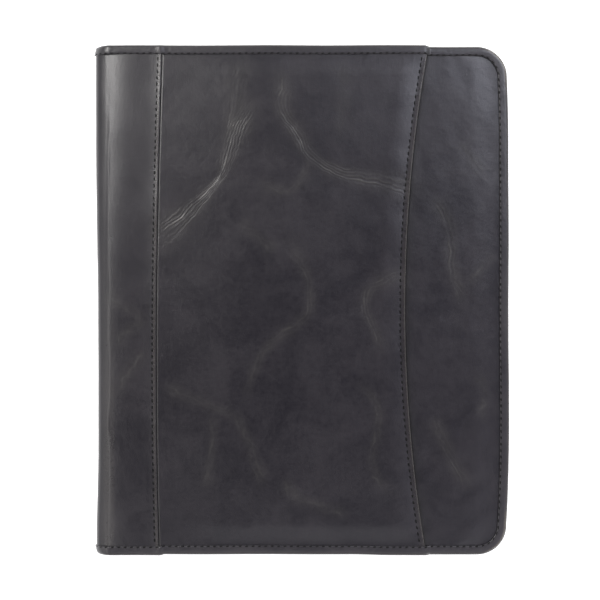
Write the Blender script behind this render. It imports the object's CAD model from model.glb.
"""Looks of the leather portfolio case, around its fixed CAD frame.

Shapes are worked out in millimetres in the frame of the CAD model, and make() turns them into metres.
The case lies closed on its back cover, its spine at -X, its fore edge at +X and its head at +Y.
A piece of the back cover is made like its twin on the front cover, and then turned over.
"""

import math

import bpy
import numpy as np
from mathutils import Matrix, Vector


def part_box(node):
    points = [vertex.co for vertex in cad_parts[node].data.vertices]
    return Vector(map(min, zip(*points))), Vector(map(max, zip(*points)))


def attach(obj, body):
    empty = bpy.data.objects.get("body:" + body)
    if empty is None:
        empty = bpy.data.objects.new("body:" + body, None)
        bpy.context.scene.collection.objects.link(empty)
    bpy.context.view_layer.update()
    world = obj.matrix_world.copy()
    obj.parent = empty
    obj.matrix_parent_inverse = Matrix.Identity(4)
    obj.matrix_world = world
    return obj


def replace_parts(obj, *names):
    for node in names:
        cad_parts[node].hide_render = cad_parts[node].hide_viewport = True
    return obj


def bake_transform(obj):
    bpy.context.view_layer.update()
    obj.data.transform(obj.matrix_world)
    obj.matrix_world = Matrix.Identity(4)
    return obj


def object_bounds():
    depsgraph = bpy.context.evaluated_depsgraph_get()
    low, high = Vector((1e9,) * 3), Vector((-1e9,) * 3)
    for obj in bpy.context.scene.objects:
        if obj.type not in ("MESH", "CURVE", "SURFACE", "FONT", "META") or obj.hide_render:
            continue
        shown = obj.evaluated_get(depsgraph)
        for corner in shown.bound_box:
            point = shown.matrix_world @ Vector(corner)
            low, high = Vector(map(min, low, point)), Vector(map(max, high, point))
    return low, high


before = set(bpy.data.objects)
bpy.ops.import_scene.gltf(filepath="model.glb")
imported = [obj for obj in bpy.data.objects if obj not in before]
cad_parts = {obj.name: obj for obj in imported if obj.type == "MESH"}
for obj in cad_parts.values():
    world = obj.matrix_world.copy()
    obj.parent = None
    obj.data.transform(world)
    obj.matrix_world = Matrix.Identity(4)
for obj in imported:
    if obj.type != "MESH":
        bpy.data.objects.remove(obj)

cad_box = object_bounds()
MM = 0.001


def box_mm(node):
    low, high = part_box(node)
    return [c / MM for c in low], [c / MM for c in high]


# ------------------------------------------------------------------ sizes, from the frame
HALF_W = cad_box[1][0] / MM
HALF_L = cad_box[1][1] / MM
THICK = cad_box[1][2] / MM
WRAP_TOP = box_mm("spine_wrap_front")[1][2]
POCKET_TOP = box_mm("front_pocket_panel")[1][2]
BASE_TOP = box_mm("front_base_leather")[1][2]
FRONT_INSIDE = box_mm("front_lining")[0][2]
FRONT_RIM = box_mm("front_edge_binding")[0][2]
BACK_INSIDE = THICK - box_mm("back_lining")[1][2]
BACK_RIM = THICK - box_mm("back_edge_binding")[1][2]
BINDING = THICK - WRAP_TOP
BINDING_FACE = 6.0
CORNER_R = 19.0
SPINE_R = 8.8
SPINE_X = -HALF_W + SPINE_R
SPINE_Z = THICK - SPINE_R
MID_Z = THICK / 2
BOARD_LEFT = box_mm("front_board")[0][0]
RIM_DEPTH = 4.1
LINING_DEPTH = 3.3
LEATHER = 1.3
STITCH_PITCH = 4.15
STITCH_IN = 5.45
HEM_IN = 3.25

# How far the sheets stop short of the outline, under the binding or under the spine's leather
WRAP_TUCK = 1.2
PANEL_TUCK = 1.6
FORE_TUCK = 2.4
SEAM_TUCK = 1.6

# How far the binding of the spine stands out past the CAD's, at the head and at the tail
SPINE_FLARE = {1: 1.5, -1: 0.9}

SEAM_POINTS = [(-90.2, 170.0), (-91.7, 123.0), (-94.3, -60.0), (-92.2, -170.0)]
MOUTH_R = 940.0
MOUTH_X = 67.2
MOUTH_Y = -5.0
MOUTH_STEP = 80.4


def smooth(low, high, value):
    """0 below low, 1 above high, and a smooth step between them."""
    t = np.clip((np.asarray(value, float) - low) / (high - low), 0.0, 1.0)
    return t * t * (3 - 2 * t)


seam_curve = np.polyfit([p[1] for p in SEAM_POINTS], [p[0] for p in SEAM_POINTS], 3)


def seam_x(y):
    return np.polyval(seam_curve, y)


def back_seam_x(y):
    return -92.0 + 0.4 * np.sin(np.asarray(y) / 55.0)


def mouth_x(y):
    return MOUTH_X + MOUTH_R - np.sqrt(MOUTH_R**2 - (np.asarray(y) - MOUTH_Y) ** 2)


def swell(x, y, length, seed):
    """Smooth random relief from about -1 to 1, with waves about as long as length."""
    rng = np.random.default_rng(seed)
    total = 0.0
    for _ in range(7):
        turn, phase = rng.uniform(0, math.tau, 2)
        wave = length * rng.uniform(0.7, 1.6)
        total = total + np.sin((x * math.cos(turn) + y * math.sin(turn)) * math.tau / wave + phase)
    return total / 4.0


# ------------------------------------------------------------------ creases of the leather
# Each crease is a line of points, its half widths along the line, the number of wrinkles side by
# side in it, and its strength. Creases that cross are in different layers.
CREASES = {
    "a": [
        ([(-26, 133), (-36, 119), (-43, 105), (-48, 91), (-53, 79), (-62, 68), (-75, 55), (-103, 31)],
         (9, 9, 3.6, 10, 19), 9, 0.80),
        ([(-13, 158), (-12, 136), (-12, 123), (-3, 108), (4, 96), (14, 87), (30, 81), (50, 77), (88, 70)],
         (8, 6, 5, 7, 12), 6, 0.74),
        ([(-8, 46), (-4, 31), (0, 24), (4, 14), (6, 2), (4, -8), (-3, -16), (-14, -24), (-26, -36), (-35, -58),
          (-39, -72)], (7, 4, 5, 4, 4), 3, 0.5),
        ([(34, -52), (44, -61), (50, -72), (49, -86), (46, -104), (50, -118), (62, -126)],
         (5, 4, 4, 4, 5), 2, 0.45),
        ([(-92, -56), (-80, -60), (-66, -66), (-50, -73), (-38, -77)], (6, 4, 4), 3, 0.5),
        ([(82, 70), (92, 57), (97, 46), (97, 28), (99, 18), (103, 5), (105, -10)], (6, 5, 5, 5, 6), 3, 0.55),
        ([(112, -46), (119, -60), (116, -80)], (5, 4, 5), 2, 0.45),
        ([(-129, 5), (-117, -3), (-101, -12)], (6, 4, 5), 2, 0.42),
        ([(-126, -66), (-112, -46), (-100, -30)], (7, 5, 6), 2, 0.4),
    ],
    "b": [
        ([(-41, 158), (-42, 140), (-45, 120), (-47, 100)], (10, 8, 5), 6, 0.5),
        ([(27, 158), (27, 130), (25, 99)], (9, 7, 5), 5, 0.3),
        ([(5, 92), (1, 80), (-8, 71), (-20, 72), (-32, 76)], (4, 4, 6), 3, 0.5),
        ([(70, 17), (58, 14), (48, 9), (42, 2), (42, -8), (46, -16), (50, -27), (52, -38)],
         (8, 5, 4, 4, 6), 4, 0.62),
        ([(-58, -70), (-57, -84), (-58, -97), (-62, -126)], (4, 3.5, 6), 2, 0.45),
        ([(-44, -70), (-37, -86), (-30, -104), (-22, -124)], (4, 4, 6), 2, 0.5),
        ([(-14, -114), (-3, -128), (14, -134), (34, -141)], (6, 4, 5), 2, 0.42),
        ([(83, -74), (92, -91), (98, -104), (103, -113), (113, -124)], (7, 5, 7), 4, 0.5),
        ([(127, 31), (117, 20), (106, 7)], (5, 4, 5), 2, 0.45),
        ([(102, 103), (120, 80)], (6, 4, 6), 2, 0.45),
        ([(-122, -28), (-112, -20), (-100, -12)], (6, 4, 6), 2, 0.4),
        ([(-42, 52), (-29, 41), (-14, 30)], (7, 4, 7), 3, 0.45),
    ],
}
NO_CREASES = {"a": [], "b": []}
BACK_CREASES = {
    "a": [
        ([(-64, 132), (-30, 110), (-5, 100), (20, 104), (52, 124)], (10, 4, 9), 9, 0.8),
        ([(74, 44), (50, 20), (44, -10), (60, -40), (92, -60)], (9, 3, 8), 7, 0.7),
        ([(-74, -26), (-45, -48), (-30, -75), (-34, -110)], (10, 4, 8), 8, 0.7),
    ],
    "b": [
        ([(-84, 62), (-50, 45), (-16, 52)], (6, 3, 7), 5, 0.5),
        ([(6, -86), (35, -105), (70, -104), (104, -122)], (7, 4, 7), 6, 0.6),
        ([(95, 124), (104, 90), (97, 60)], (6, 3, 5), 5, 0.5),
    ],
}


def curve_through(points, step=1.5):
    """A Catmull-Rom curve through the points, as points about step apart, with its share of the length."""
    p = np.array(points, float)
    p = np.vstack([2 * p[0] - p[1], p, 2 * p[-1] - p[-2]])
    out = []
    for i in range(1, len(p) - 2):
        count = max(2, int(np.linalg.norm(p[i + 1] - p[i]) / step))
        t = (np.arange(count) / count)[:, None]
        a, b, c, d = p[i - 1], p[i], p[i + 1], p[i + 2]
        bend, twist = 2 * a - 5 * b + 4 * c - d, 3 * b - a - 3 * c + d
        out.append(0.5 * (2 * b + (c - a) * t + bend * t**2 + twist * t**3))
    out.append(p[-2][None, :])
    line = np.vstack(out)
    steps = np.linalg.norm(np.diff(line, axis=0), axis=1)
    share = np.concatenate([[0], np.cumsum(steps)]) / steps.sum()
    return line, share


def crease_layer(creases, x, y):
    """The phase and the weight of the strongest crease at each point."""
    phase = np.zeros(x.shape)
    weight = np.zeros(x.shape)
    for points, widths, wrinkles, strength in creases:
        line, share = curve_through(points)
        reach = max(widths) * 1.6
        near = (
            (x > line[:, 0].min() - reach)
            & (x < line[:, 0].max() + reach)
            & (y > line[:, 1].min() - reach)
            & (y < line[:, 1].max() + reach)
        )
        if not near.any():
            continue
        px, py = x[near], y[near]
        away = (px[:, None] - line[None, :, 0]) ** 2 + (py[:, None] - line[None, :, 1]) ** 2
        index = away.argmin(axis=1)
        tangent = np.gradient(line, axis=0)
        tangent /= np.linalg.norm(tangent, axis=1)[:, None]
        t = tangent[index]
        off = np.stack([px - line[index, 0], py - line[index, 1]], axis=1)
        side = t[:, 0] * off[:, 1] - t[:, 1] * off[:, 0]
        along = (t * off).sum(axis=1)
        s = share[index]
        half = np.interp(s, np.linspace(0, 1, len(widths)), widths)
        across = side / half
        ends = smooth(0.0, 0.18, s) * (1 - smooth(0.78, 1.0, s))
        ends = np.where(np.abs(along) > 3.0, 0.0, ends)
        w = strength * ends * np.exp(-1.6 * across**2)
        keep = w > weight[near]
        phase[near] = np.where(keep, across * wrinkles / 2, phase[near])
        weight[near] = np.where(keep, w, weight[near])
    return phase, weight


# ------------------------------------------------------------------ meshes
def make(name, points, faces, material, back=False, attributes=None, sharp=False, flat_rim=0):
    """A piece from points in millimetres. A piece of the back cover is turned over."""
    points = np.array(points, float).reshape(-1, 3)
    if back:
        points = points * (1, 1, -1) + (0, 0, THICK)
        faces = [tuple(reversed(f)) for f in faces]
    mesh = bpy.data.meshes.new(name)
    mesh.from_pydata((points * MM).tolist(), [], faces)
    mesh.validate()
    mesh.update()
    if not sharp:
        count = len(mesh.polygons)
        mesh.polygons.foreach_set("use_smooth", [k < count - flat_rim for k in range(count)])
    rest = mesh.attributes.new("rest", "FLOAT_VECTOR", "POINT")
    rest.data.foreach_set("vector", points.astype(np.float32).ravel())
    for key, values in (attributes or {}).items():
        layer = mesh.attributes.new(key, "FLOAT", "POINT")
        layer.data.foreach_set("value", np.asarray(values, np.float32).ravel())
    piece = bpy.data.objects.new(name, mesh)
    bpy.context.scene.collection.objects.link(piece)
    mesh.materials.append(material)
    return piece


def surface(x, y, z):
    """A grid of points from three grids of coordinates."""
    return np.stack([x, y, z], 2)


def grid_faces(rows, columns, start=0, flip=False):
    """Quads between the points of a grid, whose first point has this number."""
    faces = []
    for r in range(rows - 1):
        for c in range(columns - 1):
            a = start + r * columns + c
            quad = (a, a + 1, a + 1 + columns, a + columns)
            faces.append(quad[::-1] if flip else quad)
    return faces


def closed_sheet(outer, inner):
    """Points and faces of a closed sheet from two grids of points, rows by columns by 3."""
    rows, columns = outer.shape[:2]
    count = rows * columns
    points = np.vstack([outer.reshape(-1, 3), inner.reshape(-1, 3)])
    faces = grid_faces(rows, columns) + grid_faces(rows, columns, count, flip=True)
    border = list(range(columns))
    border += [r * columns + columns - 1 for r in range(1, rows)]
    border += [(rows - 1) * columns + c for c in range(columns - 2, -1, -1)]
    border += [r * columns for r in range(rows - 2, 0, -1)]
    for i, a in enumerate(border):
        b = border[(i + 1) % len(border)]
        faces.append((a, a + count, b + count, b))
    return points, faces


def rim_count(grid):
    """How many narrow faces closed_sheet puts round a sheet."""
    rows, columns = grid.shape[:2]
    return 2 * (rows + columns) - 4


def sheet_attributes(x, y, creases, wear, sunk=None):
    """Crease phases and weights, wear and stitch shade for both faces of a sheet."""
    found = {}
    for layer in ("a", "b"):
        phase, weight = crease_layer(creases[layer], x.ravel(), y.ravel())
        found[f"phase_{layer}"] = np.tile(phase, 2)
        found[f"weight_{layer}"] = np.tile(weight, 2)
    found["wear"] = np.tile(wear.ravel(), 2)
    found["sunk"] = np.tile(np.zeros(x.size) if sunk is None else sunk.ravel(), 2)
    return found


def crease_relief(x, y, creases):
    """The broad hollow of each crease; the fine wrinkles are in the material."""
    total = np.zeros(x.size)
    for layer in ("a", "b"):
        phase, weight = crease_layer(creases[layer], x.ravel(), y.ravel())
        total += weight * (0.03 * np.sin(phase * 2.6) - 0.05)
    return total.reshape(x.shape)


def round_edge(distance, radius):
    """How far a rounded edge drops at this distance in from it."""
    d = np.clip(distance, 0, radius)
    return radius - np.sqrt(np.maximum(radius**2 - (radius - d) ** 2, 0))


EDGE_STEPS = [0, 0.07, 0.2, 0.4, 0.65, 1.0, 1.4, 1.8, 2.1, 2.4, 2.7, 3.0, 3.3, 3.6, 3.9, 4.3, 4.9,
              5.7, 6.7, 8.0]
SEAM_STEPS = [0, 1.0, 1.4, 1.7, 2.0, 2.4, 3.0, 4.0]
ROW_STEP = 1.25


def rows_of_y(reach, step=ROW_STEP):
    """Rows from the tail to the head, this far to both sides of the middle."""
    return np.linspace(-reach, reach, int(2 * reach / step) + 1)


# ------------------------------------------------------------------ stitches
STITCH_LIFT = (-0.55, 0.25, 0.75, 0.9, 0.75, 0.25, -0.55)
STITCH_SIZE = (0.35, 0.8, 1.0, 1.0, 1.0, 0.8, 0.35)
STITCH_HEIGHT = 0.2
STITCH_SLANT = 7.0
STITCH_SIDES = 6
FINE_STITCHES = {"pitch": 3.2, "length": 2.3, "width": 0.5}


def stitch_row(path, normals, pitch=STITCH_PITCH, length=2.5, width=0.9, first=0.5):
    """Points and faces of a row of stitches along a path, each dipping into the leather at its ends."""
    path = np.array(path, float)
    normals = np.array(normals, float)
    steps = np.linalg.norm(np.diff(path, axis=0), axis=1)
    at = np.concatenate([[0], np.cumsum(steps)])
    count = int((at[-1] - 2 * first) // pitch) + 1
    gap = (at[-1] - 2 * first) / max(count, 1)

    def along(values, where):
        return np.array([np.interp(where, at, values[:, i]) for i in range(3)])

    points, faces = [], []
    last = len(STITCH_LIFT) - 1
    for k in range(count):
        middle = first + (k + 0.5) * gap
        centre = along(path, middle)
        forward = along(path, min(middle + 0.5, at[-1])) - along(path, max(middle - 0.5, 0))
        forward /= np.linalg.norm(forward)
        normal = along(normals, middle)
        normal /= np.linalg.norm(normal)
        turn = math.radians(STITCH_SLANT + 2.0 * math.sin(k * 1.7))
        forward = forward * math.cos(turn) + np.cross(normal, forward) * math.sin(turn)
        across = np.cross(normal, forward)
        own_length = length + 0.072 * math.sin(k * 2.39)
        base = len(points)
        for j, (up, fat) in enumerate(zip(STITCH_LIFT, STITCH_SIZE)):
            ring = centre + forward * ((j / last - 0.5) * own_length) + normal * (up * STITCH_HEIGHT)
            for a in range(STITCH_SIDES):
                angle = math.tau * a / STITCH_SIDES
                wide = across * math.cos(angle)
                high = normal * (0.75 * math.sin(angle))
                points.append(ring + (wide + high) * (width / 2 * fat))
        for j in range(last):
            low = base + j * STITCH_SIDES
            for a in range(STITCH_SIDES):
                b = (a + 1) % STITCH_SIDES
                faces.append((low + a, low + b, low + STITCH_SIDES + b, low + STITCH_SIDES + a))
        faces.append(tuple(base + a for a in reversed(range(STITCH_SIDES))))
        top = base + last * STITCH_SIDES
        faces.append(tuple(top + a for a in range(STITCH_SIDES)))
    return points, faces


def sewn_row(y, x, top, seam, inset):
    """Stitches this far in from a seam, on the face of a sheet with these rows, columns and heights."""
    line_y = np.arange(-HALF_L + BINDING_FACE + 0.5, HALF_L - BINDING_FACE, 1.0)
    line_x = seam(line_y) - inset
    row = np.abs(y[:, None] - line_y[None, :]).argmin(axis=0)
    line_z = [np.interp(px, x[r], top[r]) for px, r in zip(line_x, row)]
    path = np.stack([line_x, line_y, line_z], 1)
    return stitch_row(path, np.tile([0, 0, 1.0], (len(path), 1)))


def join(parts):
    """One list of points and faces from several."""
    points, faces = [], []
    for some_points, some_faces in parts:
        faces += [tuple(i + len(points) for i in f) for f in some_faces]
        points += [tuple(p) for p in some_points]
    return points, faces


# ------------------------------------------------------------------ materials
class Value:
    """What a material works out at each point of the surface, so that a sum can be written as a sum."""

    def __init__(self, tree, socket):
        self.tree = tree
        self.socket = socket

    def __add__(self, other):
        return self.tree.math("ADD", self, other)

    def __sub__(self, other):
        return self.tree.math("SUBTRACT", self, other)

    def __rsub__(self, other):
        return self.tree.math("SUBTRACT", other, self)

    def __mul__(self, other):
        return self.tree.math("MULTIPLY", self, other)

    def __pow__(self, other):
        return self.tree.math("POWER", self, other)


class Tree:
    """Short calls for building a material's nodes."""

    def __init__(self, name):
        self.material = bpy.data.materials.new(name)
        self.material.use_nodes = True
        self.nodes = self.material.node_tree.nodes
        self.links = self.material.node_tree.links
        self.shader = self.nodes["Principled BSDF"]

    def add(self, kind, output, inputs, **settings):
        """One output of a new node. Sockets are found by name, or by number where names repeat."""
        node = self.nodes.new(kind)
        for key, value in settings.items():
            setattr(node, key, value)
        for key, value in inputs.items():
            self.feed(node.inputs[key], value)
        return Value(self, node.outputs[output])

    def feed(self, socket, value):
        if isinstance(value, Value):
            self.links.new(value.socket, socket)
        else:
            socket.default_value = value

    def math(self, operation, a, b=0.0):
        return self.add("ShaderNodeMath", 0, {0: a, 1: b}, operation=operation)

    def attribute(self, name, output="Fac"):
        return self.add("ShaderNodeAttribute", output, {}, attribute_name=name)

    def rest(self):
        """The place on the closed case, in millimetres, which a moving piece takes along."""
        return self.attribute("rest", "Vector")

    def scaled(self, vector, scale, turn=(0, 0, 0)):
        return self.add("ShaderNodeMapping", "Vector", {"Vector": vector, "Scale": scale, "Rotation": turn})

    def noise(self, vector, scale, detail=3.0, roughness=0.5, distortion=0.0):
        inputs = {"Vector": vector, "Scale": scale, "Detail": detail, "Roughness": roughness}
        return self.add("ShaderNodeTexNoise", "Fac", {**inputs, "Distortion": distortion})

    def bands(self, vector, scale, distortion=0.0, direction="X"):
        inputs = {"Vector": vector, "Scale": scale, "Distortion": distortion}
        return self.add("ShaderNodeTexWave", "Fac", inputs, wave_type="BANDS", bands_direction=direction)

    def cells(self, vector, scale, feature):
        inputs = {"Vector": vector, "Scale": scale}
        return self.add("ShaderNodeTexVoronoi", "Distance", inputs, feature=feature)

    def spread(self, value, low, high, out_low=0.0, out_high=1.0):
        inputs = {"Value": value, "From Min": low, "From Max": high, "To Min": out_low, "To Max": out_high}
        return self.add("ShaderNodeMapRange", "Result", inputs, interpolation_type="SMOOTHSTEP")

    def mix(self, factor, a, b):
        """Sockets 6 and 7 take the two colours, and output 2 gives the mixed one."""
        return self.add("ShaderNodeMix", 2, {"Factor": factor, 6: a, 7: b}, data_type="RGBA")

    def bump(self, height_mm):
        """Height in millimetres, as a normal."""
        return self.add("ShaderNodeBump", "Normal", {"Strength": 1.0, "Distance": MM, "Height": height_mm})

    def finish(self, **sockets):
        for key, value in sockets.items():
            self.feed(self.shader.inputs[key.replace("_", " ")], value)
        return self.material


def grey(value, warm=0.0):
    """A linear colour, a little warm or cold."""
    return (value * (1 + warm), value, value * (1 - warm), 1.0)


CREASE_COLOUR = (0.125, 0.119, 0.100, 1.0)
RUBBED_COLOUR = (0.120, 0.108, 0.092, 1.0)
CREASE_LINE = 0.42
CREASE_HAZE = 0.15
CREST_HEIGHT = 0.095
HOLLOW_DEPTH = 0.07


def leather(name, dark, light, gloss=0.315, grain=1.0, wrinkle=0.05, creased=True, seed=0.0):
    """Waxed pull-up leather: black, paler and browner where it is bent, rubbed or stretched."""
    t = Tree(name)
    offset = (seed, seed * 0.7, seed * 1.3)
    place = t.add("ShaderNodeVectorMath", 0, {0: t.rest(), 1: offset}, operation="ADD")
    cloud = t.noise(place, 0.030, 5.0, 0.6, 0.8)
    streak = t.noise(t.scaled(place, (0.42, 0.035, 0.3)), 1.0, 4.0, 0.6)
    mottle = t.noise(place, 0.35, 5.0, 0.65)
    colour = t.mix(t.spread(cloud * 0.62 + mottle * 0.22 + streak * 0.16, 0.34, 0.68), dark, light)
    rough = mottle * 0.10 + cloud * 0.08 + (gloss - 0.097)

    # The fine net of the grain, its pores and small soft wrinkles
    net = t.spread(t.cells(place, 1.15, "DISTANCE_TO_EDGE"), 0.0, 0.18)
    pores = t.spread(t.cells(place, 1.7, "F1"), 0.0, 0.22)
    height = net * (0.010 * grain) + t.noise(place, 2.6, 3.0, 0.6) * (0.016 * grain)
    height = height + pores * (0.006 * grain) + t.noise(place, 0.42, 2.0) * wrinkle

    if creased:
        wander = (t.noise(place, 0.050, 2.0) - 0.5) * 4.2
        ripple = (t.noise(place, 0.30, 2.0) - 0.5) * 0.50
        shift = wander + ripple
        broken = t.spread(t.noise(place, 0.11, 2.0), 0.36, 0.62)
        for layer in ("a", "b"):
            moved = t.attribute(f"phase_{layer}") + shift
            weight = t.attribute(f"weight_{layer}")
            wave = t.math("SINE", moved * math.tau)
            crest = ((wave + 1.0) * 0.5) ** 3.5
            hollow = ((1.0 - wave) * 0.5) ** 5.0
            turn = t.add("ShaderNodeCombineXYZ", "Vector", {"X": moved * 0.8, "Y": broken * 0.3})
            each = t.spread(t.noise(turn, 1.0, 1.0), 0.36, 0.64, 0.35, 1.0)
            seen = weight * (broken * 0.4 + 0.6) * each * weight
            lines = crest * seen
            haze = weight * (broken * 0.35 + 0.65) * (1.0 - weight * 0.55)
            pale = t.math("MINIMUM", lines * CREASE_LINE + haze * CREASE_HAZE, 1.0)
            colour = t.mix(pale, colour, CREASE_COLOUR)
            height = height + lines * CREST_HEIGHT - hollow * seen * HOLLOW_DEPTH
            rough = rough + lines * 0.08

    wear = t.attribute("wear")
    rough = t.math("MAXIMUM", rough - wear * 0.30, 0.12)
    rubbed = wear * t.spread(t.noise(place, 0.9, 4.0, 0.7), 0.25, 0.75, 0.45, 1.0)
    colour = t.mix(rubbed, colour, RUBBED_COLOUR)
    colour = t.mix(t.attribute("sunk"), colour, grey(0.006))
    return t.finish(Base_Color=colour, Roughness=rough, Normal=t.bump(height), IOR=1.52)


def thread_material():
    """Black twisted thread."""
    t = Tree("black_thread")
    place = t.rest()
    twist = t.bands(t.scaled(place, (1, 1, 1), (0, 0, 0.7)), 1.6, 0.6, "DIAGONAL")
    fibre = t.noise(place, 6.0, 2.0)
    return t.finish(
        Base_Color=t.mix(twist * 0.6, grey(0.003), grey(0.011)),
        Roughness=t.spread(fibre, 0.3, 0.7, 0.7, 0.85),
        Normal=t.bump(twist * 0.05 + fibre * 0.02),
        Specular_IOR_Level=0.15,
    )


def lining_material():
    """Fine black twill, a little dusty."""
    t = Tree("black_twill")
    place = t.rest()
    warp, weft = (t.bands(t.scaled(place, (1, 1, 1), (0, 0, turn)), 0.42, 0.35) for turn in (0.62, -0.95))
    weave = warp * (weft * 0.5 + 0.5)
    dust = t.spread(t.noise(place, 0.05, 4.0, 0.6), 0.4, 0.8)
    colour = t.mix(weave, grey(0.010), grey(0.040, 0.02))
    return t.finish(
        Base_Color=t.mix(dust * 0.25, colour, grey(0.055)),
        Roughness=t.spread(weave, 0, 1, 0.9, 0.72),
        Normal=t.bump(weave * 0.06),
        Sheen_Weight=0.25,
        Sheen_Roughness=0.4,
    )


RULE_PITCH = 7.1
PAD_MARGIN = 32.0


def ruled_paper_material():
    """Cream paper with pale blue rules and a red margin; sheets show at the edges."""
    t = Tree("ruled_paper")
    place = t.rest()
    x, y, z = (t.add("ShaderNodeSeparateXYZ", axis, {0: place}) for axis in "XYZ")
    low, high = box_mm("pad_paper")
    head_rule = high[1] - PAD_MARGIN
    line_at = t.math("MODULO", (head_rule + 1000 * RULE_PITCH) - y, RULE_PITCH)
    line = t.math("LESS_THAN", t.math("ABSOLUTE", line_at - RULE_PITCH / 2), 0.16)
    line = line * t.math("LESS_THAN", y, head_rule)
    margin = t.math("LESS_THAN", t.math("ABSOLUTE", x - (low[0] + PAD_MARGIN)), 0.2)
    top = t.math("GREATER_THAN", z, high[2] - 0.12)
    edge = 1.0 - top
    fibres = t.noise(place, 0.8, 5.0, 0.7)
    sheets = t.noise(t.scaled(place, (0.02, 0.02, 9.0)), 1.0, 2.0)
    colour = t.mix(fibres, (0.50, 0.47, 0.38, 1), (0.57, 0.54, 0.45, 1))
    colour = t.mix(line * top * 0.6, colour, (0.33, 0.45, 0.66, 1))
    colour = t.mix(margin * top * 0.6, colour, (0.70, 0.22, 0.22, 1))
    colour = t.mix(edge * t.spread(sheets, 0.3, 0.7, 0.0, 0.35), colour, (0.45, 0.41, 0.33, 1))
    height = fibres * 0.01 + sheets * edge * 0.08
    return t.finish(Base_Color=colour, Roughness=t.spread(fibres, 0, 1, 0.85, 0.95), Normal=t.bump(height))


def card_material(name, dark, light):
    """Pressed board or card, measured in the frame of the CAD node that it goes on."""
    t = Tree(name)
    place = t.scaled(t.add("ShaderNodeTexCoord", "Object", {}), (1 / MM, 1 / MM, 1 / MM))
    specks = t.noise(place, 0.9, 6.0, 0.75)
    layers = t.noise(t.scaled(place, (0.05, 0.05, 6.0)), 1.0, 2.0)
    return t.finish(
        Base_Color=t.mix(t.spread(specks, 0.3, 0.7), dark, light),
        Roughness=t.spread(specks, 0.2, 0.8, 0.8, 0.95),
        Normal=t.bump(specks * 0.03 + layers * 0.03),
    )


def vinyl_material():
    """Clear soft vinyl, with faint scuffs."""
    t = Tree("clear_vinyl")
    place = t.rest()
    scuffs = t.spread(t.noise(t.scaled(place, (0.3, 1.4, 1), (0, 0, 0.4)), 1.0, 4.0, 0.7), 0.45, 0.75)
    return t.finish(
        Base_Color=(0.42, 0.46, 0.48, 1),
        Roughness=t.spread(scuffs, 0, 1, 0.08, 0.3),
        Normal=t.bump(t.noise(place, 0.08, 2.0) * 0.4),
        IOR=1.5,
        Alpha=0.16,
    )


def tape_material():
    """Black cloth tape over the head of the pad."""
    t = Tree("cloth_tape")
    place = t.rest()
    weave = t.bands(place, 0.6, direction="X") * t.bands(place, 0.6, direction="Y")
    return t.finish(
        Base_Color=t.mix(weave, grey(0.015), grey(0.05)),
        Roughness=t.spread(weave, 0, 1, 0.6, 0.8),
        Normal=t.bump(weave * 0.05),
    )


DARK = (0.0054, 0.0043, 0.0074, 1.0)
PALE = (0.0124, 0.0103, 0.0138, 1.0)
BINDING_DARK = (0.0130, 0.0115, 0.0150, 1.0)
BINDING_PALE = (0.0220, 0.0196, 0.0232, 1.0)
INNER_DARK = (0.0160, 0.0154, 0.0172, 1.0)
INNER_PALE = (0.0260, 0.0250, 0.0270, 1.0)
cover_leather = leather("cover_leather", DARK, PALE)
spine_leather = leather("spine_leather", DARK, PALE, seed=41.0)
back_leather = leather("back_leather", DARK, PALE, seed=83.0)
binding_leather = leather(
    "binding_leather", BINDING_DARK, BINDING_PALE,
    gloss=0.34, grain=0.7, wrinkle=0.16, creased=False, seed=17.0,
)
inner_leather = leather(
    "inner_leather", INNER_DARK, INNER_PALE, gloss=0.5, grain=1.3, creased=False, seed=29.0
)
thread = thread_material()
twill = lining_material()
paper = ruled_paper_material()
card = card_material("pad_card", (0.24, 0.18, 0.12, 1), (0.36, 0.28, 0.19, 1))
fibreboard = card_material("fibreboard", (0.16, 0.13, 0.10, 1), (0.26, 0.22, 0.17, 1))
vinyl = vinyl_material()
tape = tape_material()


# ------------------------------------------------------------------ covers' leather
def fore_x(y, inset):
    """The fore edge of a layer, this far in from the cover's outline, at y."""
    straight = HALF_L - CORNER_R
    over = np.clip(np.abs(y) - straight, 0, CORNER_R - inset - 0.01)
    return HALF_W - CORNER_R + np.sqrt((CORNER_R - inset) ** 2 - over**2)


def columns_between(left, right, near_left, near_right, step):
    """Columns of x for each row: fixed steps in from both edges, and even steps between them."""
    inner_left = left + near_left[-1]
    inner_right = right - near_right[-1]
    count = int((inner_right - inner_left).max() / step)
    t = np.linspace(0, 1, count + 1)[1:-1]
    middle = inner_left[:, None] + (inner_right - inner_left)[:, None] * t[None, :]
    return np.hstack([
        left[:, None] + np.array(near_left)[None, :],
        middle,
        right[:, None] - np.array(near_right)[::-1][None, :],
    ])


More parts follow.
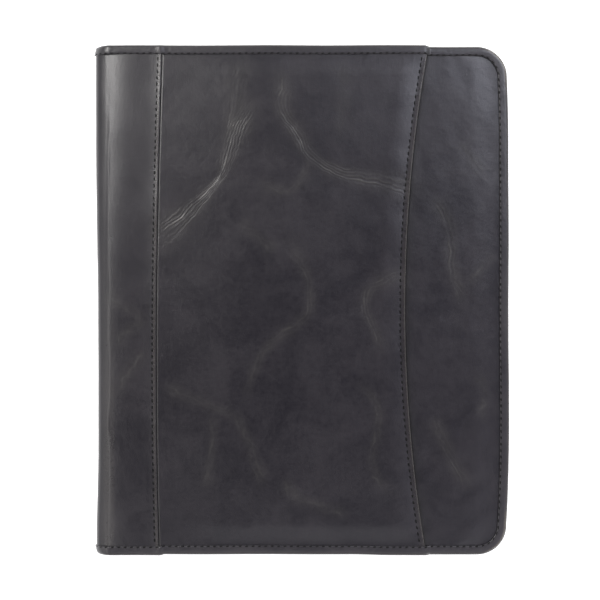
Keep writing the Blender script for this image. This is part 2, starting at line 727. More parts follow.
def pocket_panel():
    """The middle panel of the front cover: the outer wall of the pocket, open at its curved mouth."""
    y = rows_of_y(HALF_L - WRAP_TUCK)
    x = columns_between(seam_x(y) - SEAM_TUCK, mouth_x(y), SEAM_STEPS, EDGE_STEPS, ROW_STEP)
    yy = np.repeat(y[:, None], x.shape[1], axis=1)
    to_mouth = mouth_x(yy) - x
    from_seam = x - seam_x(yy)
    pulled = np.clip(HALF_L - BINDING_FACE - np.abs(yy), 0, None)
    middle = 1 - np.clip(np.abs(yy) / 158, 0, 1) ** 3
    lift = 0.75 * np.exp(-to_mouth / 13.0) * middle * (1 + 0.25 * swell(x * 0, yy, 90, 5))
    puff = 0.85 * (1 - (1 - np.clip((to_mouth - 3.2) / 13.0, 0, 1)) ** 2)
    puff *= smooth(-2.0, 60.0, from_seam) * smooth(0, 14, pulled)
    top = POCKET_TOP - 0.2 + lift + puff
    top += 0.15 * swell(x, yy, 70, 11) + 0.06 * swell(x, yy, 24, 12) + 0.018 * swell(x, yy, 9, 13)
    top += crease_relief(x, yy, CREASES)
    top -= 0.35 * np.exp(-((from_seam / 0.45) ** 2))
    top = np.where(from_seam < 0.4, np.minimum(top, POCKET_TOP - 0.35), top)
    wall = 0.9 + 0.75 * (1 - smooth(3.8, 5.0, to_mouth))
    low = np.maximum(top - wall, BASE_TOP + 0.02)
    top -= round_edge(to_mouth, 0.65)
    low = np.minimum(low + round_edge(to_mouth, 0.5), top - 0.04)
    wear = 0.075 * (1 - smooth(2.0, 3.6, to_mouth)) + 0.24 * np.exp(-(((to_mouth - 0.45) / 0.4) ** 2))
    sunk = 0.95 * (1 - smooth(0.45, 1.0, from_seam))
    points, faces = closed_sheet(surface(x, yy, top), surface(x, yy, low))
    piece = make("front_pocket_leather", points, faces, cover_leather,
                 attributes=sheet_attributes(x, yy, CREASES, wear, sunk))
    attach(piece, "front_cover")
    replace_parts(piece, "front_pocket_panel")

    points, faces = sewn_row(y, x, top, mouth_x, 3.3)
    stitches = make("pocket_hem_stitches", points, faces, thread)
    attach(stitches, "front_cover")
    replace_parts(stitches, "pocket_hem_stitching")


def base_panel():
    """The leather behind the pocket, which shows between the mouth and the fore edge."""
    y = rows_of_y(HALF_L - PANEL_TUCK)
    shown_from = np.full(y.shape, MOUTH_X - 11.2)
    x = columns_between(shown_from, fore_x(y, FORE_TUCK), [0, 1.5], [0, 1.0, 2.0, 3.0], 0.95)
    hidden = np.linspace(BOARD_LEFT + 1, MOUTH_X - 17.2, 12)
    x = np.hstack([np.repeat(hidden[None, :], len(y), axis=0), x])
    yy = np.repeat(y[:, None], x.shape[1], axis=1)
    top = BASE_TOP + 0.14 * swell(x, yy, 60, 21) + 0.05 * swell(x, yy, 20, 22)
    top += crease_relief(x, yy, CREASES)
    behind = mouth_x(yy) - x
    top -= 0.15 + 0.45 * smooth(-2.0, 6.0, behind)
    top += 0.45 * smooth(0.0, 18.0, fore_x(yy, BINDING_FACE) - x) - 0.45
    top += 0.018 * swell(x, yy, 9, 23)
    low = np.full(top.shape, BASE_TOP - LEATHER)
    sunk = np.maximum(0.9 * smooth(-0.9, -0.2, behind), 0.75 * np.exp(-np.clip(-behind, 0, None) / 2.4))
    points, faces = closed_sheet(surface(x, yy, top), surface(x, yy, low))
    piece = make("front_base_leather_panel", points, faces, cover_leather,
                 attributes=sheet_attributes(x, yy, CREASES, np.zeros(x.shape), sunk))
    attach(piece, "front_cover")
    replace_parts(piece, "front_base_leather")


def back_panel():
    """The plain outer panel of the back cover."""
    y = rows_of_y(HALF_L - PANEL_TUCK)
    left = back_seam_x(y) - SEAM_TUCK
    right = fore_x(y, FORE_TUCK)
    x = columns_between(left, right, [0, 1.0, 2.2], [0, 1.0, 2.0, 3.0], 1.6)
    yy = np.repeat(y[:, None], x.shape[1], axis=1)
    top = WRAP_TOP - 0.1 + 0.16 * swell(x, yy, 80, 31) + 0.05 * swell(x, yy, 24, 32)
    top += crease_relief(x, yy, BACK_CREASES)
    rim = np.minimum(HALF_L - BINDING_FACE - np.abs(yy), fore_x(yy, BINDING_FACE) - x)
    top -= 0.22 * np.exp(-np.clip(rim, 0, None) / 2.6)
    from_seam = x - back_seam_x(yy)
    top -= 0.3 * np.exp(-np.clip(from_seam, 0, None) / 2.2)
    top = np.where(from_seam < 0.4, np.minimum(top, WRAP_TOP - 0.65), top)
    low = np.full(top.shape, WRAP_TOP - LEATHER)
    points, faces = closed_sheet(surface(x, yy, top), surface(x, yy, low))
    piece = make("back_leather_panel", points, faces, back_leather, back=True,
                 attributes=sheet_attributes(x, yy, BACK_CREASES, np.zeros(x.shape)))
    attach(piece, "back_cover")
    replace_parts(piece, "back_outer_leather")


# ------------------------------------------------------------------ spine
BELOW_CORNER = (14.4, 13.6, 12.8)


def corner_angles(steps):
    """Angles round the spine's corner, from the top of a cover to the side of the spine."""
    return np.linspace(math.pi / 2, math.pi, steps)


def spine_profile(flat_x, corner_steps):
    """Outer line of the spine's leather, from its flat part on a cover to the middle of the spine.

    Gives x, z, the outward normal, and how far round the corner each point is, from 0 to 1."""
    points = [(x, WRAP_TOP, 0.0, 1.0, 0.0) for x in flat_x]
    radius = SPINE_R - BINDING
    for angle in corner_angles(corner_steps):
        c, s = math.cos(angle), math.sin(angle)
        round_it = (angle - math.pi / 2) / (math.pi / 2)
        points.append((SPINE_X + radius * c, SPINE_Z + radius * s, c, s, round_it))
    for z in (*BELOW_CORNER, MID_Z):
        points.append((SPINE_X - radius, z, -1.0, 0.0, 1.0))
    return np.array(points)


def spine_wrap(name, back, seam, body_far):
    """One half of the leather round the spine: from its sewn edge on a cover to the middle of the spine."""
    y = rows_of_y(HALF_L - WRAP_TUCK, 1.6)
    flat_count = 24
    steps = np.array(EDGE_STEPS)
    rows, wears = [], []
    for yy in y:
        edge = float(seam(yy))
        inner = edge - steps[-1]
        flat = np.concatenate([edge - steps, np.linspace(inner, SPINE_X, flat_count + 1)[1:-1]])
        p = spine_profile(flat, 19)
        rows.append(p)
        c = edge - p[:, 0]
        c[len(flat):] = 50.0
        rolled = 0.10 * np.exp(-(((p[:, 4] - 0.12) / 0.25) ** 2)) * float(smooth(-80, 140, -yy))
        wears.append(0.20 * np.exp(-(((c - 1.1) / 0.9) ** 2)) + rolled * (p[:, 0] < SPINE_X + 3.0))
    p = np.array(rows)
    wear = np.array(wears)
    x, z, nx, nz, turn = (p[:, :, i] for i in range(5))
    yy = np.repeat(y[:, None], x.shape[1], axis=1)
    from_edge = np.array([[float(seam(v))] for v in y]) - x
    along = np.where(turn > 0, HALF_W - x + (THICK - z), -x)
    seed = 61 if back else 51
    dome = 1.2 * np.clip(from_edge / 34.0, 0, 1) ** 5.5 * (1 - smooth(0.1, 0.9, turn))
    full = 0.05 + 1.5 * smooth(-30, 110, yy) + 1.0 * smooth(100, 150, -yy)
    bow = dome - full * smooth(0.3, 1.0, turn)
    out = 0.16 * swell(along, yy, 60, seed) * (1 - 0.5 * turn) + 0.05 * swell(along, yy, 22, seed + 1) - bow
    out += 0.45 * np.exp(-from_edge / 3.5) * (turn == 0)
    creases = NO_CREASES if back else CREASES
    out += crease_relief(x, yy, creases) * (turn < 0.3)
    drop = round_edge(from_edge, 0.6) * (turn == 0)
    shared = 0.12 * swell(0 * yy, yy, 60, 55) - bow
    out = out + (shared - out) * smooth(0.45, 1.0, turn)
    outer = surface(x + nx * (out - drop), yy, z + nz * (out - drop))
    wall = 1.15 - 0.4 * smooth(0.2, 1.0, turn)
    lift = round_edge(from_edge, 0.3) * (turn == 0)
    inside = out - wall + lift
    inner = surface(x + nx * inside, yy, z + nz * inside)
    order = np.s_[:, ::-1]
    points, faces = closed_sheet(outer[order], inner[order])
    piece = make(name, points, faces, spine_leather, back=back, flat_rim=rim_count(outer),
                 attributes=sheet_attributes(x[order], yy[order], creases, wear[order]))
    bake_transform(piece)

    flat_part = outer[:, :len(flat)][order]
    points, faces = sewn_row(y, flat_part[:, :, 0], flat_part[:, :, 2], seam, 2.5)
    stitches = make(name.replace("leather", "seam_stitches"), points, faces, thread, back=back)
    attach(stitches, body_far)
    return piece, stitches


# ------------------------------------------------------------------ edge binding
def binding_section(depth):
    """Section of the folded strip as (outward, up) pairs, outer line first: up is 0 on the outer face."""
    r, wall, face = 1.7, 0.8, BINDING_FACE
    quarter = [math.pi / 2 * k / 6 for k in range(7)]
    line = [(-face + 0.02, -0.6), (-face + 0.05, -0.35), (-face + 0.15, -0.18), (-face + 0.3, -0.08)]
    for out in (-5.4, -4.9, -4.4, -3.8, -3.0, -2.3):
        line.append((out, 0.06 - 0.08 * float(1 - smooth(-5.6, -4.0, out))))
    line += [(-r + r * math.sin(a), -r + r * math.cos(a)) for a in quarter]
    line += [(0.06 * math.sin(math.pi * t), -r - t * (depth - 2 * r)) for t in (0.33, 0.66)]
    line += [(-r + r * math.cos(a), -depth + r - r * math.sin(a)) for a in quarter]
    line += [(out, -depth) for out in (-2.8, -3.6, -4.4, -5.0, -5.5)]
    line += [(-face + 0.35, -depth), (-face + 0.1, -depth + 0.1), (-face + 0.02, -depth + 0.28)]
    line += [(-face + 0.1, -depth + wall), (-r, -depth + wall), (-wall, -depth + r)]
    line += [(-wall, -r), (-r, -wall), (-face + 0.1, -wall)]
    return np.array(line)


def outline_shift(x, y, end_side):
    """How far the real, hand-cut outline stands out from the plain one, at an edge point."""
    shift = 0.18 * swell(np.array([x]), np.array([y]), 70, 71)[0]
    if end_side > 0:
        shift -= 0.95 * float(smooth(MOUTH_STEP, MOUTH_STEP + 3.0, x))
    if end_side < 0:
        shift += 1.0 - 0.7 * float(smooth(-92.0, -89.0, x)) * (1 - float(smooth(30.0, 60.0, x)))
        shift -= 0.4 * float(smooth(MOUTH_STEP, MOUTH_STEP + 3.0, x))
    return shift


def fore_shift(y):
    """The same at the fore edge of the front cover, which bows out between its two corners."""
    end = 1.1 if y > 0 else 1.9
    bowed = 1.0 + 0.35 * float(smooth(20, 60, -y)) - end * abs(y / (HALF_L - CORNER_R)) ** 6
    return bowed + 0.12 * float(swell(np.array([90.0]), np.array([y]), 60, 72)[0])


def outer_height(x):
    """Top of the front binding: it steps down past the spine seam and again past the pocket's mouth."""
    low = POCKET_TOP + BINDING
    base = BASE_TOP + BINDING
    z = THICK + (low - THICK) * float(smooth(-91.5, -89.0, x))
    z += (base - low) * float(smooth(MOUTH_STEP + 0.2, MOUTH_STEP + 2.8, x))
    z += 0.35 * math.exp(-(((x + 91.0) / 2.0) ** 2))
    return z


def inner_height(x, rim):
    """Inner face of the binding: deeper where the cover's board begins."""
    gutter = THICK - RIM_DEPTH
    return gutter + (rim - gutter) * float(smooth(BOARD_LEFT - 3.0, BOARD_LEFT + 0.5, x))


def binding_path(back):
    """Stations along the edge of a cover, from the middle of the spine at the head round to the tail.

    Each is a place on the outline, its outward and upward directions, and the depth of the binding."""
    stations = []
    rim = BACK_RIM if back else FRONT_RIM
    angles = corner_angles(15)[::-1]
    step = 1.3
    corner_x = HALF_W - CORNER_R
    corner_y = HALF_L - CORNER_R
    flat_x = np.linspace(SPINE_X, corner_x, int((corner_x - SPINE_X) / step))

    def spine_end(side):
        found = []
        end_l = HALF_L + outline_shift(SPINE_X, side * HALF_L, side)
        for z in (MID_Z, *reversed(BELOW_CORNER)):
            place = (-HALF_W - SPINE_FLARE[side], side * end_l, z)
            found.append((place, (0, side, 0), (-1, 0, 0), RIM_DEPTH))
        for angle in angles:
            c, s = math.cos(angle), math.sin(angle)
            grown = SPINE_R + SPINE_FLARE[side] * (1 - s)
            place = (SPINE_X + grown * c, side * end_l, SPINE_Z + SPINE_R * s)
            found.append((place, (0, side, 0), (c, 0, s), RIM_DEPTH))
        for x in flat_x[1:]:
            z = THICK if back else outer_height(x)
            near_spine = 1 - float(smooth(SPINE_X, SPINE_X + 8.0, x))
            shift = outline_shift(x, side * HALF_L, 0 if back else side)
            y = side * (HALF_L + shift + (end_l - HALF_L - shift) * near_spine)
            found.append(((x, y, z), (0, side, 0), (0, 0, 1), z - inner_height(x, rim)))
        return found

    z = THICK if back else outer_height(HALF_W)
    depth = z - rim

    def round_corner(side, first, steps=24):
        """Round a corner from the head side on (side 1) or from the fore edge on (side -1)."""
        shift = 0 if back else outline_shift(corner_x, side * HALF_L, side)
        for k in range(first, steps + 1):
            a = math.pi / 2 * k / steps
            done = k / steps if side > 0 else 1 - k / steps
            out = (math.sin(a), math.cos(a), 0) if side > 0 else (math.cos(a), -math.sin(a), 0)
            radius = CORNER_R + shift * (1 - done)
            if not back:
                radius += fore_shift(side * corner_y) * done
            if not back and side > 0:
                radius -= 0.5 * math.sin(math.pi * done)
            place = (corner_x + radius * out[0], side * corner_y + radius * out[1], z)
            stations.append((place, out, (0, 0, 1), depth))

    stations += spine_end(1)
    round_corner(1, 1)
    for y in np.linspace(corner_y, -corner_y, int(2 * corner_y / step))[1:-1]:
        place = (HALF_W + (0.0 if back else fore_shift(y)), y, z)
        stations.append((place, (1, 0, 0), (0, 0, 1), depth))
    round_corner(-1, 0)
    stations += spine_end(-1)[::-1][1:]
    return stations


def binding(name, back):
    """The folded strip round the edge of a cover and half of the spine, with its two rows of stitches."""
    stations = [[np.array(v, float) for v in station[:3]] + [station[3]] for station in binding_path(back)]
    rings, wears, sunks = [], [], []
    for place, out, up, depth in stations:
        line = binding_section(depth)
        droop = 1.3 * max(0.0, -up[0]) * np.clip((line[:, :1] + 5.0) / 5.0, 0, None) ** 2
        rings.append(place + line[:, :1] * out + (line[:, 1:] - droop) * up)
        o, n = line[:, 0], line[:, 1]
        outside = n > -1.4
        at_head = place[1] > 100
        at_corner = smooth(HALF_W - CORNER_R, HALF_W - 6.0, place[0]) * smooth(130, 146, abs(place[1]))
        wears.append((0.16 + 0.84 * float(at_corner)) * np.exp(-(((o + 1.1) / 0.5) ** 2)) * outside)
        pressed = 0.35 * (1 - smooth(-5.9, -5.7, o)) + 0.5 * np.exp(-(((o + 2.6) / 0.7) ** 2)) * at_head
        notch = 0.8 * math.exp(-(((place[0] - MOUTH_STEP - 1.6) / 1.6) ** 2)) * at_head
        sunks.append(np.maximum(pressed, notch) * outside)
    count = len(rings[0])
    faces = []
    for s in range(len(rings) - 1):
        a, b = s * count, (s + 1) * count
        for k in range(count):
            m = (k + 1) % count
            faces.append((a + k, b + k, b + m, a + m))
    faces.append(tuple(range(count)))
    faces.append(tuple(reversed(range((len(rings) - 1) * count, len(rings) * count))))
    attributes = {"wear": np.array(wears), "sunk": np.array(sunks)}
    piece = make(name, rings, faces, binding_leather, back=back, attributes=attributes)
    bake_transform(piece)

    outer = [place - STITCH_IN * out for place, out, up, depth in stations]
    inner = [place - STITCH_IN * out - depth * up for place, out, up, depth in stations]
    ups = np.array([station[2] for station in stations])
    size = {"first": 1.0, "length": 2.1, "width": 0.75}
    points, faces = join([stitch_row(outer, ups, **size), stitch_row(inner, -ups, **size)])
    stitches = make(name + "_stitches", points, faces, thread, back=back)
    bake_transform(stitches)
    return piece, stitches


# ------------------------------------------------------------------ linings
def lining(name, back):
    """Twill over the inside of a cover, down into the gutter and to the middle of the spine."""
    inside = BACK_INSIDE if back else FRONT_INSIDE
    gutter_z = THICK - LINING_DEPTH
    y = rows_of_y(HALF_L - PANEL_TUCK, 3.0)
    rows = []
    for yy in y:
        flat = np.linspace(float(fore_x(yy, FORE_TUCK)), BOARD_LEFT, 64)
        line = [(px, inside, 0.0, -1.0) for px in flat]
        for t in np.linspace(0, 1, 8)[1:]:
            z = inside + (gutter_z - inside) * float(smooth(0, 1, t))
            line.append((BOARD_LEFT + (SPINE_X - BOARD_LEFT) * t, z, 0.3, -0.95))
        radius = SPINE_R - LINING_DEPTH
        for angle in corner_angles(13)[1:]:
            c, s = math.cos(angle), math.sin(angle)
            line.append((SPINE_X + radius * c, SPINE_Z + radius * s, -c, -s))
        for z in (14.0, 13.0, MID_Z):
            line.append((SPINE_X - radius, z, 1.0, 0.0))
        rows.append(line)
    p = np.array(rows)
    x, z, nx, nz = (p[:, :, i] for i in range(4))
    yy = np.repeat(y[:, None], x.shape[1], axis=1)
    soft = 0.10 * swell(x + z, yy, 45, 91) * smooth(0, 8, HALF_L - BINDING_FACE - np.abs(yy))
    outer = surface(x + nx * soft, yy, z + nz * soft)
    inner = surface(x - nx * 0.45, yy, z - nz * 0.45)
    points, faces = closed_sheet(outer, inner)
    piece = make(name, points, faces, twill, back=back, flat_rim=rim_count(outer))
    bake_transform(piece)
    return piece


# ------------------------------------------------------------------ inner pockets
PATCH_STEPS = np.array([0, 0.06, 0.18, 0.35, 0.7, 1.3, 2.0, 2.6, 3.0, 3.4, 4.2])


def patch_axis(a, b):
    """Places from a to b, close together at both ends."""
    reach = PATCH_STEPS[-1]
    count = max(3, int((b - a - 2 * reach) / 4.0))
    middle = np.linspace(a + reach, b - reach, count)[1:-1]
    return np.concatenate([a + PATCH_STEPS, middle, b - PATCH_STEPS[::-1]])


def patch(name, low, high, up, material, body, radius=0.35, hem=None, puff=0.25, seed=1, corner=2.0):
    """A flat panel with rounded edges, in a box. up is 1 if its face looks up, -1 if it looks down."""
    (left, tail, bottom), (right, head, top) = low, high
    x, yy = np.meshgrid(patch_axis(left, right), patch_axis(tail, head))
    # The four corner squares are pushed in towards their arcs
    dx = np.minimum(x - left, right - x)
    dy = np.minimum(yy - tail, head - yy)
    cx, cy = np.clip(corner - dx, 0, None), np.clip(corner - dy, 0, None)
    over = np.maximum(np.maximum(cx, cy), 1e-9) / np.maximum(np.hypot(cx, cy), 1e-9)
    pull_x, pull_y = cx * (1 - over), cy * (1 - over)
    x = x + np.where(x < (left + right) / 2, pull_x, -pull_x)
    yy = yy + np.where(yy < (tail + head) / 2, pull_y, -pull_y)
    edge = np.minimum(dx, dy)
    bulge = puff * smooth(0, 14, edge) * (0.6 + 0.4 * swell(x, yy, 50, seed)) - round_edge(edge, radius)
    if hem is not None:
        bulge -= 0.18 * np.exp(-(((head - yy - hem) / 0.4) ** 2))
    face, flat = (top, bottom) if up > 0 else (bottom, top)
    order = np.s_[:, ::up]
    outer = surface(x, yy, face + up * bulge)
    inner = surface(x, yy, np.full(x.shape, flat))
    points, faces = closed_sheet(outer[order], inner[order])
    wear = 0.3 * np.exp(-((edge[order] - 0.4) / 0.4) ** 2)
    attributes = {"wear": np.tile(wear.ravel(), 2), "sunk": np.zeros(len(points))}
    piece = make(name, points, faces, material, attributes=attributes)
    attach(piece, body)
    return piece


def stitch_line(corners, face, up, **settings):
    """A row of stitches along straight runs at one height."""
    parts = []
    for a, b in zip(corners, corners[1:]):
        count = max(2, int(math.dist(a, b) / 1.0))
        line = np.linspace((*a, face), (*b, face), count)
        parts.append(stitch_row(line, np.tile([0, 0, float(up)], (count, 1)), **settings))
    return join(parts)


def sewn(name, parts, body):
    """One piece from rows of stitches."""
    points, faces = join(parts)
    stitches = make(name, points, faces, thread)
    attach(stitches, body)
    return stitches


def front_inside():
    """Document pocket, card slots and identity window, inside the front cover."""
    low, high = box_mm("document_pocket")
    panel = patch("document_pocket_panel", low, high, -1, inner_leather, "front_cover",
                  hem=HEM_IN, seed=101, corner=13.0)
    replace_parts(panel, "document_pocket")
    y = high[1] - HEM_IN
    row = stitch_line([(low[0] + 1, y), (high[0] - 1, y)], low[2] - 0.15, -1)
    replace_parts(sewn("document_pocket_stitches", [row], "front_cover"), "document_pocket_stitching")

    slot_hem, side_in, end_in, slots = 2.4, 1.6, 2.5, 4
    parts = []
    for k in range(1, slots + 1):
        low, high = box_mm(f"card_slot_{k}")
        panel = patch(f"card_slot_panel_{k}", low, high, -1, inner_leather, "front_cover",
                      hem=slot_hem, puff=0.12, seed=110 + k, corner=1.5)
        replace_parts(panel, f"card_slot_{k}")
        left, right = low[0] + end_in, high[0] - end_in
        y = high[1] - slot_hem
        parts.append(stitch_line([(left, y), (right, y)], low[2] - 0.06, -1, **FINE_STITCHES))
        bottom = low[1] + side_in if k == slots else high[1] - 17.0
        for x in (low[0] + side_in, high[0] - side_in):
            parts.append(stitch_line([(x, y), (x, bottom)], low[2] - 0.02, -1, **FINE_STITCHES))
    parts.append(stitch_line([(left, bottom), (right, bottom)], low[2] - 0.02, -1, **FINE_STITCHES))
    sewn("card_slot_stitches", parts, "front_cover")

    low, high = box_mm("id_window")
    film = patch("id_window_film", low, high, -1, vinyl, "front_cover",
                 radius=0.15, puff=0.3, seed=121, corner=4.0)
    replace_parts(film, "id_window")
    left, right, tail, head = low[0] + 2, high[0] - 2, low[1] + 2, high[1] - 2
    ring = [(left, head), (left, tail), (right, tail), (right, head)]
    sewn("id_window_stitches", [stitch_line(ring, low[2] - 0.02, -1, **FINE_STITCHES)], "front_cover")


def pad_sleeve():
    """Panel that holds the pad's card back, on welts sewn to the lining on three sides."""
    low, high = box_mm("pad_sleeve")
    panel_low = high[2] - 1.0
    piece = patch("pad_sleeve_panel", (low[0], low[1], panel_low), high, 1, inner_leather,
                  "back_cover", hem=HEM_IN, puff=0.0, seed=131, corner=9.0)
    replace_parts(piece, "pad_sleeve")
    inset, width, corner = 0.6, 3.0, 9
    welts = []
    for left, right, tail, head in (
        (low[0] + inset, low[0] + inset + width, low[1] + corner, high[1]),
        (high[0] - inset - width, high[0] - inset, low[1] + corner, high[1]),
        (low[0] + corner, high[0] - corner, low[1] + inset, low[1] + inset + width),
    ):
        xs = np.array([left, left + 0.3, (left + right) / 2, right - 0.3, right])
        x, yy = np.meshgrid(xs, np.linspace(tail, head, 12))
        top = surface(x, yy, np.full(x.shape, panel_low + 0.05))
        welts.append(closed_sheet(top, surface(x, yy, np.full(x.shape, low[2]))))
    points, faces = join(welts)
    zero = np.zeros(len(points))
    welt = make("pad_sleeve_welts", points, faces, inner_leather, sharp=True,
                attributes={"wear": zero, "sunk": zero})
    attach(welt, "back_cover")
    y = high[1] - HEM_IN
    left, right, tail = low[0] + 2.1, high[0] - 2.1, low[1] + 2.1
    runs = [
        [(low[0] + 1, y), (high[0] - 1, y)],
        [(left, y - 2), (left, low[1] + 10)],
        [(right, y - 2), (right, low[1] + 10)],
        [(low[0] + 10, tail), (high[0] - 10, tail)],
    ]
    rows = [stitch_line(run, high[2] - 0.12, 1) for run in runs]
    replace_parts(sewn("pad_sleeve_stitches", rows, "back_cover"), "pad_sleeve_stitching")


def pen_loop():
    """Leather strip sewn down flat at both sides, and arched over the pen's place."""
    low, high = box_mm("pen_loop")
    middle = (low[0] + high[0]) / 2
    radius = (high[0] - low[0]) / 2
    wall = 1.0
    spring = high[2] - radius

    def line(foot, r):
        """The foot at one side, the arch, and the foot at the other side."""
        one_side = [(low[0] + x, low[2] + z) for x, z in foot]
        angles = [math.pi - math.pi * k / 16 for k in range(17)]
        arch = [(middle + r * math.cos(a), spring + r * math.sin(a)) for a in angles]
        return np.array(one_side + arch + [(2 * middle - x, z) for x, z in one_side[::-1]])

    outer = line([(-2.6, 0.9), (-0.6, 0.9), (-0.05, 1.5)], radius)
    inner = line([(-2.6, 0.0), (-0.4, 0.0), (0.9, 0.5)], radius - wall)
    ends = np.array([0, 0.08, 0.25, 0.5, 1.2, 2.4])
    y = np.concatenate([low[1] + ends, np.linspace(low[1] + 4, high[1] - 4, 12), high[1] - ends[::-1]])
    edge = np.minimum(y - low[1], high[1] - y)
    way = (inner - outer) / np.linalg.norm(inner - outer, axis=1)[:, None]
    rounded = outer[None] + way[None] * round_edge(edge, 0.4)[:, None, None]
    plain = np.repeat(inner[None], len(y), axis=0)
    yy = np.repeat(y[:, None], len(outer), axis=1)
    points, faces = closed_sheet(
        surface(rounded[:, :, 0], yy, rounded[:, :, 1]), surface(plain[:, :, 0], yy, plain[:, :, 1])
    )
    wear = np.repeat(0.35 * np.exp(-((edge - 0.4) / 0.4) ** 2), len(outer))
    piece = make("pen_loop_leather", points, faces, inner_leather,
                 attributes={"wear": np.tile(wear, 2), "sunk": np.zeros(len(points))})
    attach(piece, "back_cover")
    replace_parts(piece, "pen_loop")
    runs = []
    for x in (low[0] - 1.6, high[0] + 1.6):
        runs.append(stitch_line([(x, low[1] + 1), (x, high[1] - 1)], low[2] + 0.9, 1, **FINE_STITCHES))
    sewn("pen_loop_stitches", runs, "back_cover")


# ------------------------------------------------------------------ writing pad
def paper_block(rng, low, high, sheets):
    """A block in a box, whose sheets are a little uneven at the edges."""
    points, faces = [], []
    side = 12
    count = 4 * side
    for k, z in enumerate(np.linspace(low[2], high[2], 2 * sheets + 1)):
        dx, dy = rng.uniform(-0.16, 0.05, 2) if k % 2 else (-0.28, -0.28)
        left, right, tail, head = low[0] - dx, high[0] + dx, low[1] - dy, high[1]
        corners = [(left, tail, z), (right, tail, z), (right, head, z), (left, head, z)]
        for a, b in zip(corners, corners[1:] + corners[:1]):
            points += [tuple(p) for p in np.linspace(a, b, side + 1)[:-1]]
    for k in range(2 * sheets):
        for j in range(count):
            m = (j + 1) % count
            faces.append((k * count + j, k * count + m, (k + 1) * count + m, (k + 1) * count + j))
    faces.append(tuple(reversed(range(count))))
    faces.append(tuple(range(2 * sheets * count, (2 * sheets + 1) * count)))
    return points, faces


def pad_paper():
    """The paper: its lower part ends where the sleeve begins, and its upper part lies over the sleeve."""
    low, high = box_mm("pad_paper")
    sleeve_high = box_mm("pad_sleeve")[1]
    sleeve_top = sleeve_high[2]
    rng = np.random.default_rng(7)
    upper = paper_block(rng, (low[0], low[1], sleeve_top + 0.3), high, 24)
    step_y = sleeve_high[1] + 3.0
    lower = paper_block(rng, (low[0], step_y, low[2]), (high[0], high[1], sleeve_top + 0.32), 8)
    points, faces = join([upper, lower])
    piece = make("pad_paper_block", points, faces, paper, sharp=True)
    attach(piece, "writing_pad")
    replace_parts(piece, "pad_paper")


def pad_head_tape():
    """Cloth tape folded over the head of the pad."""
    low, high = box_mm("pad_head_tape")
    wall = 0.3
    y0, y1 = low[1], high[1]
    middle_y, middle_z = (y0 + y1) / 2, (low[2] + high[2]) / 2
    top = high[2]

    def folded(half):
        """The upper half of a section, and the same turned over below it."""
        return half + [(y, 2 * middle_z - z) for y, z in half[-2::-1]]

    outer = folded([(y0, top - 0.05), (y0 + 0.3, top), (middle_y, top), (y1 - 0.9, top),
                    (y1 - 0.2, top - 0.25), (y1, top - 0.9), (y1, middle_z)])
    inner = folded([(y0, top - wall), (y0 + 0.3, top - wall), (middle_y, top - wall), (y1 - 0.9, top - wall),
                    (y1 - wall - 0.1, top - wall - 0.1), (y1 - wall, top - 0.9), (y1 - wall, middle_z)])
    x = np.linspace(low[0] - 0.1, high[0] + 0.1, 40)
    uneven = 0.175 * np.sin(x / 17.0)

    def along(line):
        line = np.array(line)
        yy = np.repeat(line[None, :, 0], len(x), axis=0)
        yy[:, :2] += uneven[:, None]
        xx = np.repeat(x[:, None], len(line), axis=1)
        return surface(xx, yy, np.repeat(line[None, :, 1], len(x), axis=0))

    points, faces = closed_sheet(along(outer)[::-1], along(inner)[::-1])
    strip = make("pad_head_tape_cloth", points, faces, tape)
    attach(strip, "writing_pad")
    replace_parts(strip, "pad_head_tape")


# ------------------------------------------------------------------ build everything
pocket_panel()
base_panel()
back_panel()
front_wrap, front_wrap_stitches = spine_wrap("spine_leather_front", False, seam_x, "front_cover")
back_wrap, back_wrap_stitches = spine_wrap("spine_leather_back", True, back_seam_x, "back_cover")
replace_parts(front_wrap, "spine_wrap_front", "spine_wrap_middle")
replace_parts(back_wrap, "spine_wrap_back", "spine_wrap_middle")
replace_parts(front_wrap_stitches, "front_seam_stitching")
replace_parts(back_wrap_stitches, "back_seam_stitching")
front_binding, front_binding_stitches = binding("edge_binding_front", False)
back_binding, back_binding_stitches = binding("edge_binding_back", True)
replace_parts(front_binding, "front_edge_binding", "spine_head_binding", "spine_tail_binding")
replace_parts(back_binding, "back_edge_binding", "spine_head_binding", "spine_tail_binding")
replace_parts(front_binding_stitches, "front_binding_stitching", "spine_binding_stitching")
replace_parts(back_binding_stitches, "back_binding_stitching", "spine_binding_stitching")
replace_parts(lining("lining_front", False), "front_lining", "spine_lining")
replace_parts(lining("lining_back", True), "back_lining", "spine_lining")
front_inside()
pad_sleeve()
pen_loop()
pad_paper()
pad_head_tape()

for node, material in (
    ("front_board", fibreboard),
    ("back_board", fibreboard),
    ("spine_stiffener", fibreboard),
    ("pad_backing", card),
):
    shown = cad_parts[node]
    shown.data.materials.clear()
    shown.data.materials.append(material)


# ------------------------------------------------------------------ floor, light and camera
FLOOR_SIZE = 3.0
FLOOR_Z = -0.0002


def floor():
    """A plain pale floor."""
    t = Tree("pale_floor")
    cloud = t.noise(t.add("ShaderNodeTexCoord", "Object", {}), 3.0, 2.0)
    t.finish(
        Base_Color=t.mix(cloud, (0.93, 0.93, 0.93, 1), (0.95, 0.95, 0.95, 1)),
        Roughness=0.9,
        Specular_IOR_Level=0.0,
        Emission_Color=(1, 1, 1, 1),
        Emission_Strength=0.55,
    )
    mesh = bpy.data.meshes.new("floor")
    corners = [(x * FLOOR_SIZE, y * FLOOR_SIZE, FLOOR_Z) for x, y in ((-1, -1), (1, -1), (1, 1), (-1, 1))]
    mesh.from_pydata(corners, [], [(0, 1, 2, 3)])
    plane = bpy.data.objects.new("floor", mesh)
    bpy.context.scene.collection.objects.link(plane)
    mesh.materials.append(t.material)


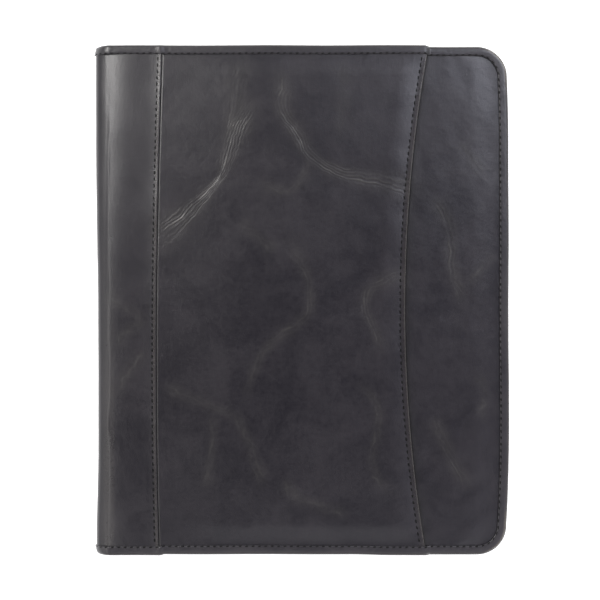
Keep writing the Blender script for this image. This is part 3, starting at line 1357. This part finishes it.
def lamp(name, place, target, size, power, colour=(1, 1, 1)):
    """A rectangular lamp at a place, turned to a target."""
    data = bpy.data.lights.new(name, "AREA")
    data.shape = "RECTANGLE"
    data.size, data.size_y = size
    data.energy = power
    data.color = colour
    light = bpy.data.objects.new(name, data)
    light.location = place
    light.rotation_euler = (Vector(target) - Vector(place)).to_track_quat("-Z", "Y").to_euler()
    bpy.context.scene.collection.objects.link(light)


CAMERA_HEIGHT = 0.917


def studio_world():
    """Bright all round at the horizon and nearly black overhead, so that flat leather stays black."""
    world = bpy.data.worlds.new("studio")
    world.use_nodes = True
    nodes, links = world.node_tree.nodes, world.node_tree.links
    split = nodes.new("ShaderNodeSeparateXYZ")
    links.new(nodes.new("ShaderNodeTexCoord").outputs["Generated"], split.inputs[0])
    ramp = nodes.new("ShaderNodeMapRange")
    ramp.interpolation_type = "SMOOTHSTEP"
    links.new(split.outputs["Z"], ramp.inputs["Value"])
    for key, value in (("From Min", 0.35), ("From Max", 0.98), ("To Min", 1.1), ("To Max", 0.02)):
        ramp.inputs[key].default_value = value
    nodes["Background"].inputs["Color"].default_value = (1, 1, 1, 1)
    links.new(ramp.outputs["Result"], nodes["Background"].inputs["Strength"])
    bpy.context.scene.world = world


def lamps():
    """Two lamps at the spine's side, two low ones past the fore edge, and cool soft fill from above."""
    lamp("key", (-0.86, 0.66, 1.55), (-0.10, 0.10, 0), (0.46, 0.62), 20, (1.0, 0.985, 0.965))
    lamp("spine_side", (-1.25, -0.35, 0.80), (-0.12, -0.05, 0), (1.1, 0.5), 1.2, (1.0, 0.97, 0.94))
    lamp("side_strip", (-1.00, -0.30, 1.45), (-0.12, -0.05, 0), (1.3, 0.55), 5.8, (1.0, 0.98, 0.96))
    lamp("head_corner", (1.15, 1.15, 0.75), (0.12, 0.15, 0), (1.4, 0.15), 14)
    lamp("tail_corner", (1.15, -1.15, 0.75), (0.12, -0.15, 0), (1.4, 0.15), 7)
    lamp("cool_fill", (0.66, 0.63, 1.60), (0.06, 0.10, 0), (0.50, 0.50), 10, (0.87, 0.89, 1.0))
    lamp("cool_tail", (0.72, -0.50, 1.60), (0.10, -0.10, 0), (0.50, 0.60), 1.6, (0.90, 0.88, 1.0))
    lamp("tail_fill", (0.0, -0.76, 1.50), (0, -0.10, 0), (1.2, 0.4), 2.3, (0.96, 0.96, 1.0))


def camera_above():
    """Camera straight above the front cover."""
    scene = bpy.context.scene
    scene.view_settings.view_transform = "Standard"
    data = bpy.data.cameras.new("camera")
    data.lens = 85
    data.sensor_width = 36
    camera = bpy.data.objects.new("camera", data)
    camera.location = (-0.001, -0.0003, THICK * MM + CAMERA_HEIGHT)
    camera.rotation_euler = (0, 0, 0)
    scene.collection.objects.link(camera)
    scene.camera = camera


floor()
studio_world()
lamps()
camera_above()
